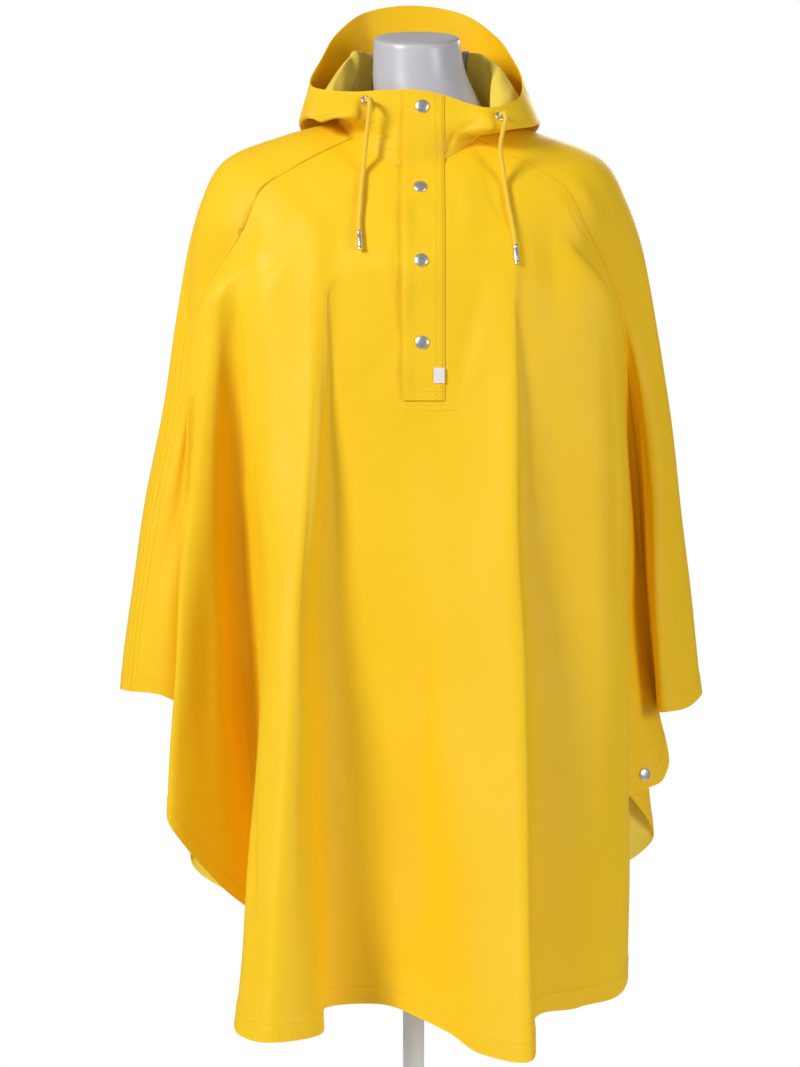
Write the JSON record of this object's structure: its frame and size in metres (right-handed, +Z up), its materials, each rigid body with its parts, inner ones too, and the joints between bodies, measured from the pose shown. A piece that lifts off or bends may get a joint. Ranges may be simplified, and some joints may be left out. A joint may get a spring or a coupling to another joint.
{
  "type": "rain poncho on a dress form",
  "caption": "Loose knee-length rain poncho with lowered hood, snap placket, drawcords and wing sleeves, draped over a limbless dress form on a round-based stand.",
  "frame": {"origin": "centre of the underside of the stand's base", "axes": "+Z up, -Y the front of the poncho, +X to the right of someone who looks at its front"},
  "size_m": [0.6919, 0.6319, 1.6381],
  "materials": {
    "shell": "yellow coated cloth with a soft sheen",
    "lining": "grey lining",
    "cord": "yellow braid",
    "label": "white tape",
    "fittings": "satin metal",
    "form": "light grey, half gloss",
    "stand": "pale paint"
  },
  "bodies": {
    "root": {"front_panel": "shell", "back_panel": "shell", "sleeve_front_left": "shell", "sleeve_back_left": "shell", "sleeve_front_right": "shell", "sleeve_back_right": "shell", "hood_left": "shell", "hood_right": "shell", "placket_flap": "shell", "neck_lining": "lining", "drawcord_left": "cord", "drawcord_right": "cord", "label": "label", "placket_snap_1": "fittings", "placket_snap_2": "fittings", "placket_snap_3": "fittings", "placket_snap_4": "fittings", "side_snap_left": "fittings", "side_snap_right": "fittings", "eyelet_left": "fittings", "eyelet_right": "fittings", "cord_tip_left": "fittings", "cord_tip_right": "fittings", "form_torso": "form", "stand_base": "stand", "stand_pole": "stand"}
  },
  "joints": []
}
